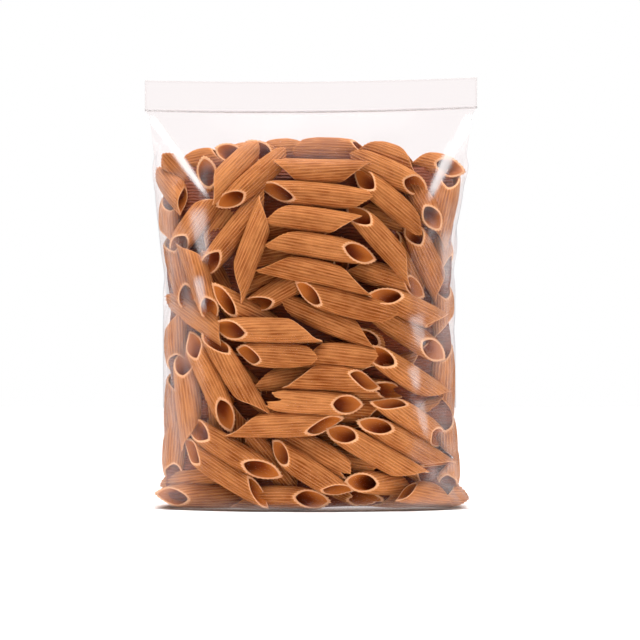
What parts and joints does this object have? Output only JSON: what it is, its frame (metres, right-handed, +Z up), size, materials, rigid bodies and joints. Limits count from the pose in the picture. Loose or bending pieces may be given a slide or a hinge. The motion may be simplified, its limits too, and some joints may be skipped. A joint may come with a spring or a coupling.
{
  "type": "pasta packet",
  "caption": "Clear press-seal film bag standing upright, filled with short ridged pasta tubes, with a flat closure band across the top.",
  "frame": {"origin": "bottom centre of the whole pack, on the surface it stands on", "axes": "+Z up, +X along the closure band to the right as seen from the front, -Y towards the front"},
  "size_m": [0.14, 0.051, 0.182],
  "materials": {
    "pasta": "dry whole-wheat pasta seen through clear film, satin, with pale floury cut edges",
    "film": "clear thin polyethylene film, glossy, with soft creases"
  },
  "bodies": {
    "root": {"bag": "pasta", "closure_band": "film"}
  },
  "joints": []
}
